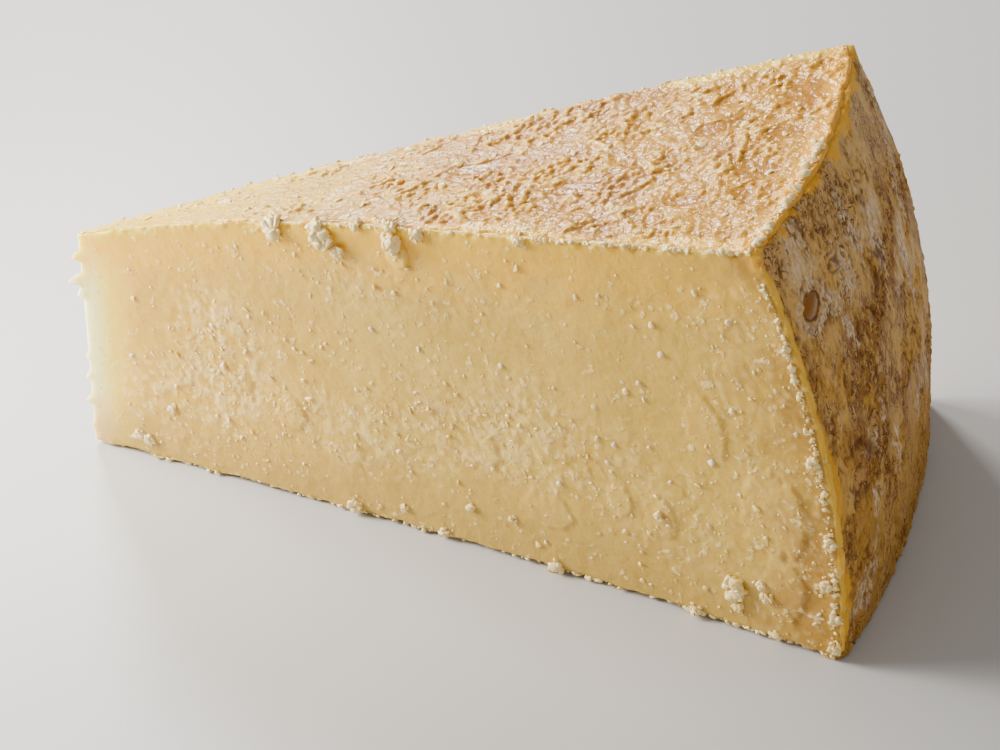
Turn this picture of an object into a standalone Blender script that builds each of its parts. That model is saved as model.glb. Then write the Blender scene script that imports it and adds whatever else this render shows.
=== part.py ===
"""A wedge of sbrinz, the hard Swiss grating cheese, cut from half the height of a wheel.

The piece lies on the cut that halved the wheel. It has the wheel's top rind above, the rim rind
at its wide end, and two radial cuts that meet in a blunt tip. Metres, +Z up. The tip points to
-X and the rim to +X, and the origin is the middle of the bounding box on the resting face.
"""
import math

import bmesh
import bpy
from mathutils import Vector, noise

# ---- Driving dimensions -------------------------------------------------------------------
RIM_HEIGHT = 0.076           # half of a wheel 152 mm tall
TIP_HEIGHT = 0.0484          # the piece is cut thinner towards the middle of the wheel
FRONT_LENGTH = 0.147         # tip to rim along the front cut, at the base
BACK_STRETCH = 1.037         # the back cut is a little longer than the front one
WEDGE_ANGLE = math.radians(29.8)

TIP_OUTSET = Vector((-0.0066, 0.0023, 0.0))   # the tip's foot stands out past its top
TIP_WIDTH = 0.0018           # the blunt edge where the two cuts meet

RIM_BELLY = 0.031            # the rim's swelling just above the base, as a share of the length
RIM_DRAW = 0.127             # how far it draws in again at the top, as a share of the length
FLAT_TOP_ARC = 0.006         # the rim is flatter than a circle round the tip: share at the top
FLAT_BASE_ARC = 0.005        # and at the base

FRONT_HOLLOW = 0.0018        # the front cut is dished by this much near the base
BACK_HOLLOW = 0.0010
HOLLOW_FADE = 0.88           # the share of the dish that is gone at the top
HOLLOW_SKEW = -0.3           # the dish is deepest a little nearer the rim
FRONT_CROWN = 0.0030         # the top rind rises this far over a straight line, along the front
BACK_CROWN = 0.0014          # and along the back
CROWN_SKEW = 0.9             # the front's rise is highest nearer the tip
TOP_CROWN = 0.0004           # and across the wedge, near the rim

RIND_WAVE = 0.0004           # slow unevenness of the two rinds
CUT_WAVE = 0.0002            # and of the two cuts
WAVE_LENGTH = 0.022
WAVE_SEED = 5
EDGE_ROUND = 0.0006

# Rows of faces along, across and up the wedge.
STEPS_ALONG, STEPS_ACROSS, STEPS_UP = 34, 18, 12

PASTE_COLOUR = (0.60, 0.46, 0.23, 1.0)


def clear_scene():
    """Remove every object, so that the script can be run again."""
    for thing in list(bpy.data.objects):
        bpy.data.objects.remove(thing, do_unlink=True)


def hump(t, skew=0.0):
    """Return 0 at both ends of 0..1 and about 1 between; a skew moves the peak towards 0."""
    return 4.0 * t * (1.0 - t) * (1.0 + skew * (1.0 - 2.0 * t))


def rim_point(across, up):
    """Return the rim's plan position, measured from the top of the tip."""
    reach = FRONT_LENGTH * (1.0 + RIM_BELLY * up - RIM_DRAW * up * up)
    flattening = FLAT_BASE_ARC + (FLAT_TOP_ARC - FLAT_BASE_ARC) * up
    reach *= 1.0 + (BACK_STRETCH - 1.0) * across - flattening * hump(across)
    angle = WEDGE_ANGLE * (across - 0.5)
    return Vector((reach * math.cos(angle), reach * math.sin(angle), 0.0))


def top_height(along, across):
    """Return the height of the top rind."""
    slope = TIP_HEIGHT + (RIM_HEIGHT - TIP_HEIGHT) * along
    front = FRONT_CROWN * (1.0 - across) * hump(along, CROWN_SKEW)
    back = BACK_CROWN * across * hump(along)
    return slope + front + back + TOP_CROWN * hump(across) * along


def hollow(along, across, up):
    """Return the push into the wedge that dishes the two cuts."""
    front_in = Vector((math.sin(WEDGE_ANGLE / 2), math.cos(WEDGE_ANGLE / 2), 0.0))
    back_in = Vector((math.sin(WEDGE_ANGLE / 2), -math.cos(WEDGE_ANGLE / 2), 0.0))
    front = front_in * FRONT_HOLLOW * (1.0 - across)
    back = back_in * BACK_HOLLOW * across
    return (front + back) * hump(along, HOLLOW_SKEW) * (1.0 - HOLLOW_FADE * up)


def wedge_point(along, across, up):
    """Map the unit cube to the wedge: tip to rim, front cut to back cut, base to top."""
    cut_off = TIP_WIDTH / WEDGE_ANGLE
    blunt = cut_off / (FRONT_LENGTH + cut_off)
    reach = blunt + (1.0 - blunt) * along
    apex = TIP_OUTSET * (1.0 - up) - Vector((cut_off, 0.0, 0.0))
    point = apex + (rim_point(across, up) - apex) * reach + hollow(along, across, up)
    point.z = up * top_height(along, across)
    return point


def unevenness(along, across, up, point):
    """Return the slow waves of rind and cut, which fade out towards the resting face."""
    on_rind = along > 0.999 or up > 0.999
    size = RIND_WAVE if on_rind else CUT_WAVE
    return noise.noise_vector(point / WAVE_LENGTH) * size * min(1.0, 3.0 * up)


def gridded_cube():
    """Return a bmesh of the unit cube, cut into rows along each of its three directions."""
    bm = bmesh.new()
    bmesh.ops.create_cube(bm, size=1.0)
    bmesh.ops.translate(bm, verts=bm.verts, vec=(0.5, 0.5, 0.5))
    for axis, steps in enumerate((STEPS_ALONG, STEPS_ACROSS, STEPS_UP)):
        rows = []
        for edge in bm.edges:
            span = edge.verts[1].co - edge.verts[0].co
            if abs(span[axis]) > 0.999:
                rows.append(edge)
        bmesh.ops.subdivide_edges(bm, edges=rows, cuts=steps - 1, use_grid_fill=True)
    return bm


def shape_wedge(bm):
    """Move the gridded cube's points to the wedge and centre it over the resting face."""
    for vert in bm.verts:
        along, across, up = vert.co
        point = wedge_point(along, across, up)
        wave = unevenness(along, across, up, point)
        if up < 0.001:
            wave = Vector((0.0, 0.0, 0.0))
        vert.co = point + wave
    low = Vector([min(v.co[axis] for v in bm.verts) for axis in range(3)])
    high = Vector([max(v.co[axis] for v in bm.verts) for axis in range(3)])
    middle = (low + high) / 2.0
    bmesh.ops.translate(bm, verts=bm.verts, vec=(-middle.x, -middle.y, -low.z))


def paste_material():
    """Return the plain material of the cut cheese."""
    material = bpy.data.materials.new("paste")
    material.use_nodes = True
    shader = material.node_tree.nodes["Principled BSDF"]
    shader.inputs["Base Color"].default_value = PASTE_COLOUR
    shader.inputs["Roughness"].default_value = 0.5
    shader.inputs["Metallic"].default_value = 0.0
    return material


def make_wedge():
    """Build the one solid piece of cheese, with its edges slightly worn."""
    noise.seed_set(WAVE_SEED)
    bm = gridded_cube()
    shape_wedge(bm)
    bmesh.ops.recalc_face_normals(bm, faces=bm.faces)
    mesh = bpy.data.meshes.new("cheese_wedge")
    bm.to_mesh(mesh)
    bm.free()
    mesh.materials.append(paste_material())
    wedge = bpy.data.objects.new("cheese_wedge", mesh)
    bpy.context.scene.collection.objects.link(wedge)
    mesh.shade_smooth()
    mesh.set_sharp_from_angle(angle=math.radians(35.0))
    worn = wedge.modifiers.new("worn_edges", "BEVEL")
    worn.width = EDGE_ROUND
    worn.segments = 2
    worn.limit_method = "ANGLE"
    worn.angle_limit = math.radians(35.0)
    return wedge


clear_scene()
make_wedge()
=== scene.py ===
# %% [markdown]
# # A wedge of sbrinz
# Sbrinz is a very hard Swiss cheese. This wedge was sawn and broken from a wheel that had been
# halved flat, so it has a dry rind on top and on its curved rim, two long cut faces that meet in
# a thin tip, and a flat cut base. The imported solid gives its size. Here it gets its surface: waxy
# paste with pale grains, flaky top rind, stained rim rind, and the crumbs that hang on its edges.

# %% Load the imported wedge
import math
import random
from functools import partial

import bmesh
import bpy
import numpy as np
from mathutils import Matrix, Vector, noise
from mathutils.bvhtree import BVHTree


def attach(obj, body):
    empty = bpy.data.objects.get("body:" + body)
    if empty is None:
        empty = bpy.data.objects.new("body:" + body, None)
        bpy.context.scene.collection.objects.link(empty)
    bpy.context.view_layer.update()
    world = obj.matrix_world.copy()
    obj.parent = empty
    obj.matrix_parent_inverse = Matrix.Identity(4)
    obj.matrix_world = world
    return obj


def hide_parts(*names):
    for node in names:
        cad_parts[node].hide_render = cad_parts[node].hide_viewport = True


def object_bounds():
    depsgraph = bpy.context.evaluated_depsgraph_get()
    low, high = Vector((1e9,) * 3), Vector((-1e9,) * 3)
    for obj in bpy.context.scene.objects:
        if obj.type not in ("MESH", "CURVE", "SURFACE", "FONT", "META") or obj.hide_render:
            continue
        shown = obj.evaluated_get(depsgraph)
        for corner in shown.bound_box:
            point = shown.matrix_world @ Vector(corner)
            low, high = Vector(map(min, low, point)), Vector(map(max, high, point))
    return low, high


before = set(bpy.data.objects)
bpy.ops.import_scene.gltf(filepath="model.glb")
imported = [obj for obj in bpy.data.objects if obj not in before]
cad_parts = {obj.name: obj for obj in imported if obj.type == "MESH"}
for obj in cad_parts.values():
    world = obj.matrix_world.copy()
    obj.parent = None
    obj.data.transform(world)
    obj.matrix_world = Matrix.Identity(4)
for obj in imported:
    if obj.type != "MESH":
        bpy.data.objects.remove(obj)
cad_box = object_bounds()
low, high = Vector(cad_box[0]), Vector(cad_box[1])
print("wedge box in mm:", [round(1000 * side, 1) for side in high - low])

# %% [markdown]
# ## The wedge's form
# The same few sizes that shape the solid shape the surface here. Every point of the wedge has
# three shares: *along* from the tip (0) to the rim (1), *across* from the front cut (0) to the
# back cut (1), and *up* from the base (0) to the top (1). A cube that is cut into rows of faces
# can then be laid over the wedge by one rule, which keeps its faces in neat, even rows. A boolean
# of a cylinder and planes would give the outline too, but not rows to model on.

# %% Sizes of the wedge
MM = 0.001
RIM_HEIGHT = 76 * MM
TIP_HEIGHT = 48.4 * MM
FRONT_LENGTH = 147 * MM
BACK_STRETCH = 1.037
WEDGE_ANGLE = math.radians(29.8)
RIM_WIDTH = 74 * MM
TIP_OUTSET = (-6.6 * MM, 2.3 * MM)
TIP_WIDTH = 1.8 * MM
RIM_BELLY, RIM_DRAW = 0.031, 0.127
FLAT_TOP_ARC, FLAT_BASE_ARC = 0.006, 0.005
FRONT_HOLLOW, BACK_HOLLOW = 1.8 * MM, 1.0 * MM
HOLLOW_FADE, HOLLOW_SKEW = 0.88, -0.3
FRONT_CROWN, BACK_CROWN, TOP_CROWN = 3.0 * MM, 1.4 * MM, 0.4 * MM
CROWN_SKEW = 0.9


def hump(share, skew=0.0):
    """Return 0 at both ends of 0..1 and about 1 between; a skew moves the peak towards 0."""
    return 4.0 * share * (1.0 - share) * (1.0 + skew * (1.0 - 2.0 * share))


def ease(value, start, end):
    """Return 0 before start, 1 after end, and a smooth step between them."""
    share = np.clip((value - start) / (end - start), 0.0, 1.0)
    return share * share * (3.0 - 2.0 * share)


def to_side(share):
    """Return the share that lies between a point and the nearer side."""
    return np.minimum(share, 1.0 - share)


def wedge_points(shares):
    """Lay points given as shares along, across and up over the wedge, tip's top at x = y = 0."""
    along, across, up = shares.T
    reach = FRONT_LENGTH * (1.0 + RIM_BELLY * up - RIM_DRAW * up * up)
    flattening = FLAT_BASE_ARC + (FLAT_TOP_ARC - FLAT_BASE_ARC) * up
    reach = reach * (1.0 + (BACK_STRETCH - 1.0) * across - flattening * hump(across))
    angle = WEDGE_ANGLE * (across - 0.5)
    cut_off = TIP_WIDTH / WEDGE_ANGLE
    blunt = cut_off / (FRONT_LENGTH + cut_off)
    share = blunt + (1.0 - blunt) * along
    apex_x = TIP_OUTSET[0] * (1.0 - up) - cut_off
    apex_y = TIP_OUTSET[1] * (1.0 - up)
    dish = hump(along, HOLLOW_SKEW) * (1.0 - HOLLOW_FADE * up)
    dish_front = FRONT_HOLLOW * (1.0 - across) * dish
    dish_back = BACK_HOLLOW * across * dish
    sine, cosine = math.sin(WEDGE_ANGLE / 2), math.cos(WEDGE_ANGLE / 2)
    x = apex_x + (reach * np.cos(angle) - apex_x) * share + (dish_front + dish_back) * sine
    y = apex_y + (reach * np.sin(angle) - apex_y) * share + (dish_front - dish_back) * cosine
    crown = FRONT_CROWN * (1.0 - across) * hump(along, CROWN_SKEW) + BACK_CROWN * across * hump(along)
    top = TIP_HEIGHT + (RIM_HEIGHT - TIP_HEIGHT) * along + crown + TOP_CROWN * hump(across) * along
    return np.stack((x, y, up * top), axis=1)


corners = np.array([(a, c, u) for a in (0.0, 1.0) for c in (0.0, 0.5, 1.0) for u in (0.0, 0.25, 1.0)])
laid = wedge_points(corners)
outline_middle = (laid.min(axis=0) + laid.max(axis=0)) / 2.0
TO_FRAME = np.array((-outline_middle[0], -outline_middle[1], 0.0))
tip_top = Vector(TO_FRAME)
print("tip's top stands at", [round(1000 * value, 1) for value in tip_top], "mm")

# %% [markdown]
# ## Camera, floor and light
# The camera stands close to the rim's corner, looks down at the front cut, and is leaned a
# little. Most light comes from a wide window on the left and slightly behind. A smaller one
# behind the wedge grazes the flakes on top, a low glow lights the tip, and a weak fill and a pale
# room keep the shaded rim readable. The shadow falls to the right.

# %% Camera
def show(name, data):
    """Return a new object that shows the data in the scene."""
    thing = bpy.data.objects.new(name, data)
    bpy.context.scene.collection.objects.link(thing)
    return thing


CAMERA_FROM_TIP = Vector((181.2, -335.0, 266.7)) * MM
HEADING, PITCH, LEAN = math.radians(17.41), math.radians(34.53), math.radians(-5.12)
LENS_MM = 86.46

lens = bpy.data.cameras.new("camera")
lens.lens = LENS_MM
lens.clip_start = 0.01
camera = show("camera", lens)
aim = Matrix.Rotation(HEADING, 4, "Z") @ Matrix.Rotation(math.pi / 2 - PITCH, 4, "X")
aim = aim @ Matrix.Rotation(LEAN, 4, "Z")
camera.matrix_world = Matrix.Translation(tip_top + CAMERA_FROM_TIP) @ aim
bpy.context.scene.camera = camera

# %% Light
LEFT = Vector((-math.cos(HEADING), -math.sin(HEADING), 0.0))
AWAY = Vector((-math.sin(HEADING), math.cos(HEADING), 0.0))
UP = Vector((0.0, 0.0, 1.0))
AIM_HEIGHT = 0.03
WARM_WHITE = (1.0, 0.98, 0.95)


def window(name, place, size, power, colour):
    """Hang a square soft light that faces the wedge."""
    light = bpy.data.lights.new(name, "AREA")
    light.size = size
    light.energy = power
    light.color = colour
    lamp = show(name, light)
    lamp.location = place
    lamp.rotation_euler = (UP * AIM_HEIGHT - place).to_track_quat("-Z", "Y").to_euler()


window("window", LEFT * 0.55 + AWAY * 0.22 + UP * 0.34, 0.46, 10.4, WARM_WHITE)
window("back window", LEFT * 0.15 + AWAY * 0.60 + UP * 0.42, 0.17, 5.2, WARM_WHITE)
window("low glow", LEFT * 0.20 + AWAY * 0.035 + UP * 0.10, 0.06, 0.75, (1.0, 0.97, 0.92))
window("right fill", LEFT * -0.45 + AWAY * -0.45 + UP * 0.28, 0.30, 0.5, (1.0, 0.97, 0.93))
world = bpy.data.worlds.new("pale room")
world.use_nodes = True
background = world.node_tree.nodes["Background"]
background.inputs["Color"].default_value = (1.0, 0.97, 0.92, 1.0)
background.inputs["Strength"].default_value = 0.37
bpy.context.scene.world = world

# %% Floor
sheet = bmesh.new()
bmesh.ops.create_grid(sheet, x_segments=2, y_segments=2, size=4.0)
floor_mesh = bpy.data.meshes.new("floor")
sheet.to_mesh(floor_mesh)
sheet.free()
floor = show("floor", floor_mesh)
stone = bpy.data.materials.new("pale stone")
stone.use_nodes = True
stone_shader = stone.node_tree.nodes["Principled BSDF"]
stone_shader.inputs["Base Color"].default_value = (0.55, 0.54, 0.53, 1.0)
stone_shader.inputs["Roughness"].default_value = 0.45
floor_mesh.materials.append(stone)

# %% [markdown]
# ## Helpers for modelling
# Each skin starts as a box or a grid of faces in shares. Its points are laid over the wedge all
# at once with numpy, and then lifted or sunk by Blender's noise. Moving the points of a shape
# that an operator made keeps the faces closed and even.

# %% Rows, noise and attributes
noise.seed_set(11)


def rows_on_box(along, across, up):
    """Return the unit cube, cut into rows of faces in its three directions."""
    bm = bmesh.new()
    bmesh.ops.create_cube(bm, size=1.0)
    bmesh.ops.translate(bm, verts=bm.verts, vec=(0.5, 0.5, 0.5))
    for axis, rows in enumerate((along, across, up)):
        spans = [e for e in bm.edges if abs((e.verts[1].co - e.verts[0].co)[axis]) > 0.999]
        bmesh.ops.subdivide_edges(bm, edges=spans, cuts=rows - 1, use_grid_fill=True)
    return bm


def read_points(bm):
    """Return the points of a bmesh as an array."""
    return np.array([vert.co[:] for vert in bm.verts])


def move_points(bm, points):
    """Put the points of a bmesh at the rows of an array."""
    for vert, place in zip(bm.verts, points.tolist()):
        vert.co = place


def bumps(points, size):
    """Sample Blender's noise, -1..1, with bumps of about the given size, at every point."""
    return np.array([noise.noise(place) for place in (points / size).tolist()])


def cells(points, size, key):
    """Return how far the nearest two cell centres are, and the cell's number for a key, -1..1."""
    found = [noise.voronoi(place) for place in (points / size).tolist()]
    near = np.array([distances[0] for distances, centres in found])
    next_near = np.array([distances[1] for distances, centres in found])
    centre = np.array([centres[0][:] for distances, centres in found])
    number = np.array([noise.cell(place) for place in (centre * key).tolist()])
    return near, next_near, number


def warped(points, size, reach):
    """Push the points about by a slow noise, so that what is sampled there gets wavy outlines."""
    push = np.stack([bumps(points + shift, size) for shift in (0.0, 0.1, 0.2)], axis=1)
    return points + push * reach


def finished_mesh(bm, name, **numbers):
    """Return the bmesh as a mesh; its first points store the numbers that its material reads."""
    mesh = bpy.data.meshes.new(name)
    bm.to_mesh(mesh)
    bm.free()
    for key, values in numbers.items():
        layer = mesh.attributes.new(key, "FLOAT", "POINT")
        fill = np.zeros(len(mesh.vertices) - len(values))
        layer.data.foreach_set("value", np.concatenate((values, fill)).astype(np.float32))
    return mesh


def add_piece(name, mesh, material):
    """Link a finished mesh as a piece that rides with the wedge."""
    mesh.materials.append(material)
    mesh.shade_smooth()
    piece = show(name, mesh)
    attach(piece, "root")
    print(name, "has", sum(len(face.vertices) - 2 for face in mesh.polygons), "triangles")
    return piece


# %% [markdown]
# ## Helpers for materials
# Each finish is a net of nodes. Noise patterns and the numbers stored on the mesh decide where one
# colour gives way to the next, like thin coats of glaze. Painting an image by hand would be
# quicker for one piece, but noise in Object coordinates has no seams and stays sharp up close.

# %% Nodes for materials
def new_material(name):
    """Return a material, its Principled shader and its Object coordinates."""
    material = bpy.data.materials.new(name)
    material.use_nodes = True
    nodes = material.node_tree.nodes
    return material, nodes["Principled BSDF"], nodes.new("ShaderNodeTexCoord").outputs["Object"]


def feed(socket, source):
    """Set a socket to a value, or link another socket to it."""
    if isinstance(source, bpy.types.NodeSocket):
        socket.id_data.links.new(source, socket)
    else:
        socket.default_value = source


def add_node(source, kind, inputs):
    """Add a node beside the source and feed its inputs, given by name or number."""
    node = source.id_data.nodes.new(kind)
    for key, value in inputs.items():
        feed(node.inputs[key], value)
    return node


def stored(shader, name):
    """Return a number stored on the mesh."""
    node = add_node(shader, "ShaderNodeAttribute", {})
    node.attribute_name = name
    return node.outputs["Fac"]


# %% Patterns
def cloud(place, size, detail=3.0, roughness=0.55, distortion=0.0):
    """Return a noise pattern, 0..1, with features of the given size in metres."""
    inputs = {"Vector": place, "Scale": 1.0 / size, "Detail": detail, "Roughness": roughness}
    return add_node(place, "ShaderNodeTexNoise", inputs | {"Distortion": distortion}).outputs["Fac"]


def spread(source, low_in, high_in, low_out=0.0, high_out=1.0):
    """Map a range of numbers smoothly to another one."""
    node = add_node(source, "ShaderNodeMapRange", {
        "Value": source, "From Min": low_in, "From Max": high_in, "To Min": low_out, "To Max": high_out})
    node.interpolation_type = "SMOOTHSTEP"
    return node.outputs["Result"]


def maths(operation, first, second):
    """Combine two numbers."""
    node = add_node(first, "ShaderNodeMath", {0: first, 1: second})
    node.operation = operation
    return node.outputs[0]


plus = partial(maths, "ADD")
minus = partial(maths, "SUBTRACT")
times = partial(maths, "MULTIPLY")
larger = partial(maths, "MAXIMUM")


def thin_lines(place, size, width):
    """Return thin wandering lines, 0..1."""
    waves = cloud(place, size, detail=2.0, distortion=0.6)
    return spread(maths("ABSOLUTE", minus(waves, 0.5), 0.0), width, width * 0.3)


def specks(place, size, share):
    """Return small round dots, 0..1, one in each cell that the share keeps."""
    node = add_node(place, "ShaderNodeTexVoronoi", {"Vector": place, "Scale": 1.0 / size})
    dot = spread(node.outputs["Distance"], 0.42, 0.20)
    return times(dot, maths("LESS_THAN", node.outputs["Color"], share))


# %% Colour, relief and soaked light
def blend(share, first, second):
    """Mix two colours; each is red, green and blue, or a socket."""
    node = add_node(share, "ShaderNodeMix", {})
    node.data_type = "RGBA"
    feed(node.inputs["Factor"], share)
    for number, colour in ((6, first), (7, second)):
        feed(node.inputs[number], (*colour, 1.0) if isinstance(colour, tuple) else colour)
    return node.outputs[2]


def coats(colour, *layers):
    """Lay paints over a colour; the most of each lies where its number has gone from start to end."""
    for paint, number, start, end, most in layers:
        colour = blend(spread(number, start, end, 0.0, most), colour, paint)
    return colour


def bump(shader, height, depth, strength):
    """Add relief that is finer than the mesh to a shader; depth is in metres."""
    node = add_node(height, "ShaderNodeBump", {"Strength": strength, "Distance": depth, "Height": height})
    feed(shader.inputs["Normal"], node.outputs["Normal"])


def finish(shader, colour, roughness, shine, glow, reach, spectrum=(1.0, 0.72, 0.40)):
    """Feed a shader. The glow is light that soaks in as far as reach, red furthest, as in fat."""
    inputs = {"Base Color": colour, "Roughness": roughness, "Specular IOR Level": shine,
              "Subsurface Weight": glow, "Subsurface Scale": reach,
              "Subsurface Radius": spectrum, "Subsurface Anisotropy": 0.0}
    for name, source in inputs.items():
        feed(shader.inputs[name], source)


# %% [markdown]
# ## The paste
# Cut sbrinz is waxy and lets light in, so the paste is one closed body with subsurface light. Its
# cuts are smooth where the knife slid and grainy where the cheese broke, most of all low at the
# tip and beside the rim. The grainy zones are named places on the cut. In them the faces are
# lifted into lumps and thin broken plates, while the rest keeps only a slow wave. Sculpting by
# hand would do this too, but a rule in code can be read and changed.

# %% Where the cuts are grainy
# Each zone: share along, share up, half length, half height, strength.
FRONT_ZONES = (
    (0.20, 0.42, 0.15, 0.34, 1),
    (0.40, 0.36, 0.22, 0.16, 0.7),
    (0.60, 0.42, 0.16, 0.18, 0.8),
    (0.80, 0.24, 0.12, 0.18, 0.5),
    (0.94, 0.45, 0.08, 0.60, 0.5),
    (0.45, 0.82, 0.20, 0.10, 0.35),
)
BACK_ZONES = (
    (0.18, 0.50, 0.16, 0.40, 1),
    (0.45, 0.25, 0.22, 0.20, 0.8),
    (0.68, 0.55, 0.18, 0.22, 0.7),
    (0.93, 0.40, 0.09, 0.55, 1),
)


def graininess(along, up, zones, wander):
    """Return how broken the cut is, 0..1; wander is a noise that frays the zones."""
    total = np.zeros_like(along)
    for middle_along, middle_up, half_long, half_high, strength in zones:
        far = np.hypot((along - middle_along) / half_long, (up - middle_up) / half_high)
        total = np.maximum(total, strength * ease(1.25 - far + 0.55 * wander, 0.0, 0.75))
    return total


# %% Cut the body into rows
ROWS_ALONG, ROWS_ACROSS, ROWS_UP = 100, 16, 42
FINER_FRONT, FINER_BACK = 3, 1


def fan_out(across):
    """Crowd the rows across the wedge towards the two cuts."""
    side = 2.0 * across - 1.0
    for _ in range(2):
        side = np.sin(side * math.pi / 2)
    return (side + 1.0) / 2.0


def body_rows():
    """Return a box in shares, with finer faces on the two cuts and the tip."""
    bm = rows_on_box(ROWS_ALONG, ROWS_ACROSS, ROWS_UP)
    front, back = set(), set()
    for face in bm.faces:
        spot = face.calc_center_median()
        if min(spot.x, spot.y) < 1e-4:
            front.update(face.edges)
        elif spot.y > 1.0 - 1e-4:
            back.update(face.edges)
    back = list(back - front)
    bmesh.ops.subdivide_edges(bm, edges=list(front), cuts=FINER_FRONT, use_grid_fill=True)
    bmesh.ops.subdivide_edges(bm, edges=back, cuts=FINER_BACK, use_grid_fill=True)
    return bm


# %% Round the worn edges
def wear_edges(shares):
    """Round the box's edges: little at the cuts, more at the base and at the top of the rim."""
    box = np.array((FRONT_LENGTH, RIM_WIDTH, RIM_HEIGHT))
    points = shares * box
    ridge = ease(shares[:, 2], 0.97, 1.0) * ease(shares[:, 0], 0.96, 0.985)
    foot = ease(shares[:, 2], 0.04, 0.015)
    radius = (0.6 + 0.9 * ridge + 0.6 * foot) * MM
    inner = np.clip(points, radius[:, None], box - radius[:, None])
    out = points - inner
    length = np.linalg.norm(out, axis=1, keepdims=True)
    return (inner + out / length * radius[:, None]) / box


# %% Tear the tip
# Each torn bit at the tip: height over the base, how far it stands out, half height, in mm.
TIP_TEARS = ((43.2, 1.7, 1.5), (37.7, 2.8, 1.8), (34.9, 1.2, 2), (20.6, 0.5, 1.4),
             (15.9, 0.9, 1.5), (10.2, 1.2, 1.6), (4, 0.4, 1.4))


def tip_tears(height_mm):
    """Return how far the torn tip stands out at a height, in metres: steep below, drawn out above."""
    total = np.zeros_like(height_mm)
    for middle, reach, half in TIP_TEARS:
        below = ease(height_mm, middle - 0.55 * half, middle)
        above = 1.0 - ease(height_mm, middle, middle + 1.6 * half)
        total += reach * below * above
    return total * MM


# %% Plates on the front cut
CUT_HEIGHT = 62.0            # a cut's average height in mm
# Each broken plate: share along, share up, half length, half height and thickness in mm.
PLATES = ((0.785, 0.272, 3, 4.2, 0.15), (0.925, 0.365, 6, 7.5, 0.30), (0.736, 0.295, 2.2, 3, 0.20),
          (0.505, 0.935, 2.2, 3.6, 0.45), (0.860, 0.560, 3.5, 5, 0.22), (0.930, 0.160, 4, 5.5, 0.25),
          (0.640, 0.200, 5, 3.5, 0.18), (0.300, 0.330, 3, 4, 0.20), (0.560, 0.340, 4, 3, 0.18))


def front_plates(points, along, up):
    """Return how far broken plates lift the front cut, in mm: thin, tilted, with ragged edges."""
    fray = 0.22 * bumps(points, 2.4 * MM) + 0.12 * bumps(points, 0.9 * MM)
    total = np.zeros(len(points))
    for middle_along, middle_up, half_long, half_high, thick in PLATES:
        long = (along - middle_along) * FRONT_LENGTH / MM / half_long
        high = (up - middle_up) * CUT_HEIGHT / half_high
        inside_plate = 1.0 - ease(np.maximum(np.abs(long), np.hypot(long, high)) + fray, 0.90, 1.04)
        total = np.maximum(total, inside_plate * thick * (1.0 + 0.45 * long))
    return total


# %% Relief of the cuts
def cut_relief(points, grain):
    """Return the lift of the cut faces in metres, and how much of it is grain."""
    slow = 0.28 * bumps(points, 24 * MM) + 0.09 * bumps(points, 8 * MM)
    slow = slow + 0.08 * bumps(points, 3 * MM)
    tall = warped(points, 2.5 * MM, 0.5 * MM) * np.array((1.0, 1.0, 0.85))
    near, _, number = cells(tall, 1.25 * MM, 5.1)
    lumps = np.clip(1.15 - 1.6 * near, 0.0, 1.0) * ease(number, 0.0, 0.5)
    near, _, height = cells(warped(points, 5 * MM, 1.5 * MM), 5.5 * MM, 7.3)
    plates = 0.5 + 0.5 * height - 0.35 * near
    fine = bumps(points, 1.7 * MM) * (0.03 + 0.09 * grain)
    lift = slow + fine + grain * (0.20 * lumps + 0.20 * plates - 0.1)
    return lift * MM, grain * lumps


# %% Chip the edges
def edge_distance(shares):
    """Return how far each point of the body is from the nearest long edge, in mm."""
    along, across, up = shares.T
    to_cut = to_side(across) * (along * RIM_WIDTH / MM + 2.0)
    to_level = to_side(up) * (TIP_HEIGHT + (RIM_HEIGHT - TIP_HEIGHT) * along) / MM
    to_rim = (1.0 - along) * FRONT_LENGTH / MM
    return np.sort(np.stack((to_cut, to_level, to_rim)), axis=0)[1]


def edge_chips(points, distance):
    """Return how far the broken edges fall back, in metres."""
    rough = 0.6 * bumps(points, 2.6 * MM) + 0.7 * bumps(points, 1.2 * MM)
    return np.clip(rough + 0.10, -0.35, 1.0) * ease(1.5 - distance, 0.0, 1.3) * 0.75 * MM


# %% Lift the lower edge
FOOT_GAP, FOOT_DEPTH = 1.3 * MM, 4.0 * MM


def foot_gap(shares, points):
    """Return how far the ragged lower edge stands off the floor, in metres."""
    along, across, up = shares.T
    from_cut = to_side(across) * (along * RIM_WIDTH + 2 * MM)
    inwards = np.minimum(from_cut, (1.0 - along) * FRONT_LENGTH) / FOOT_DEPTH
    ragged = np.clip(0.75 + 0.6 * bumps(points, 6 * MM), 0.2, 1.3)
    lowest = np.clip(1.0 - up / 0.03, 0.0, 1.0)
    return FOOT_GAP * ragged * np.clip(1.0 - inwards, 0.0, 1.0) ** 2 * lowest ** 2


# %% Build the body
RIND_BED = 0.9               # the body lies this much lower under the rinds, in mm


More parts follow.
